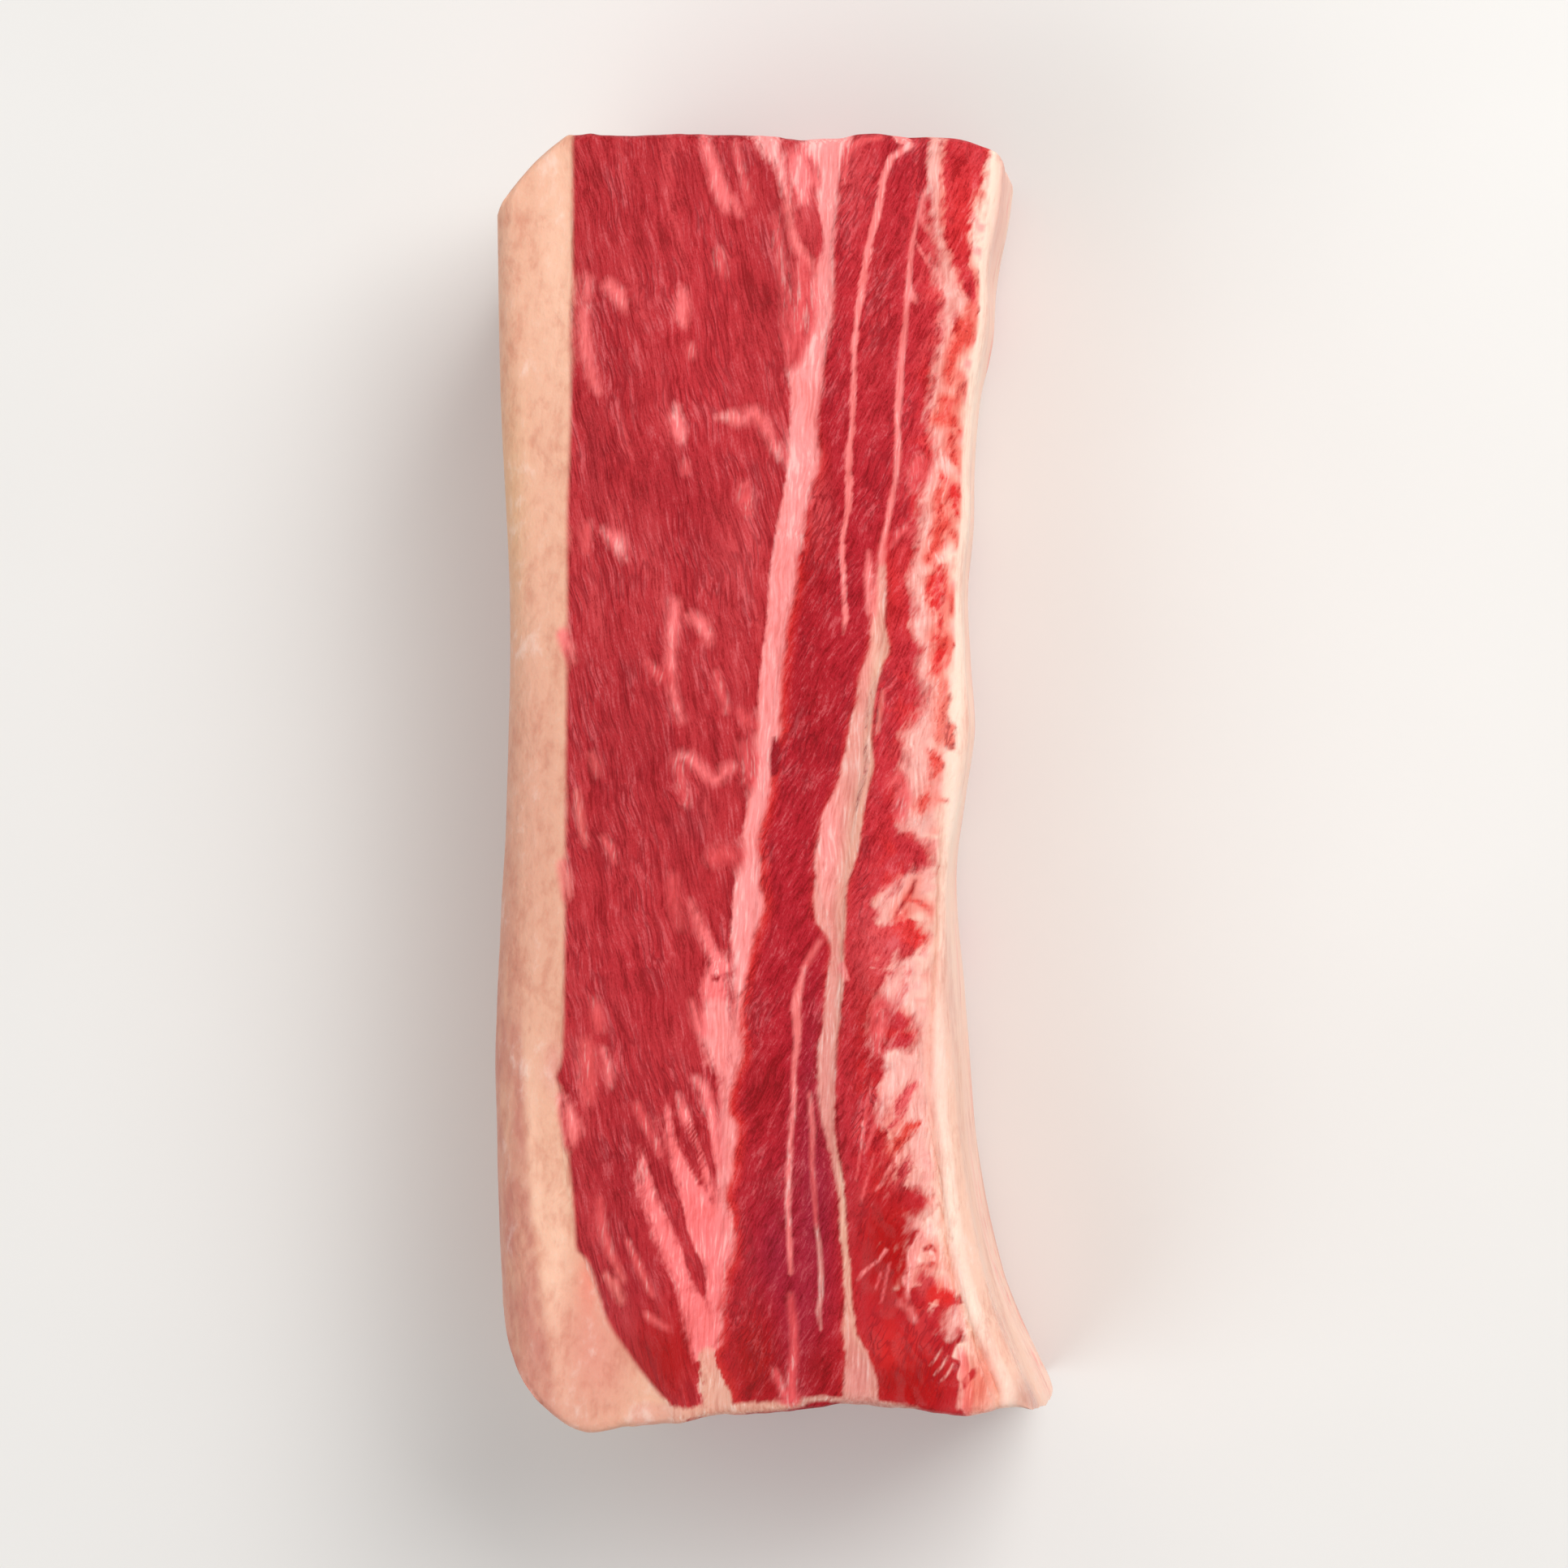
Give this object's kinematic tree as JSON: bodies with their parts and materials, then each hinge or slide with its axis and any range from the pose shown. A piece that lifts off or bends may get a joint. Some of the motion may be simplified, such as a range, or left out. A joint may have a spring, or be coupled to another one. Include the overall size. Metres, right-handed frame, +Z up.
{
  "type": "raw beef short rib",
  "caption": "Raw bone-in beef short rib, English cut: fat cap, lean muscle, pink fat seam, silver band, sawn rib and pale lining, lying on its cut side.",
  "frame": {"origin": "centre of the flat cut side that the rib rests on, under the middle of its bounding box", "axes": "+Z up from the resting side to the shown cut side; +Y along the bone to the end with the narrow side edge; +X from the fat cap to the lining over the bone"},
  "size_m": [0.0648, 0.1525, 0.0443],
  "materials": {
    "fat": "satin",
    "seam_fat": "satin",
    "lean": "satin",
    "deep_lean": "satin",
    "silver": "satin",
    "bone": "matte",
    "lining": "satin"
  },
  "bodies": {
    "root": {"fat_cap": "fat", "outer_muscle": "lean", "fat_seam": "seam_fat", "inner_muscle": "deep_lean", "silver_band": "silver", "rib_muscle": "deep_lean", "rib_bone": "bone", "lining": "lining"}
  },
  "joints": []
}
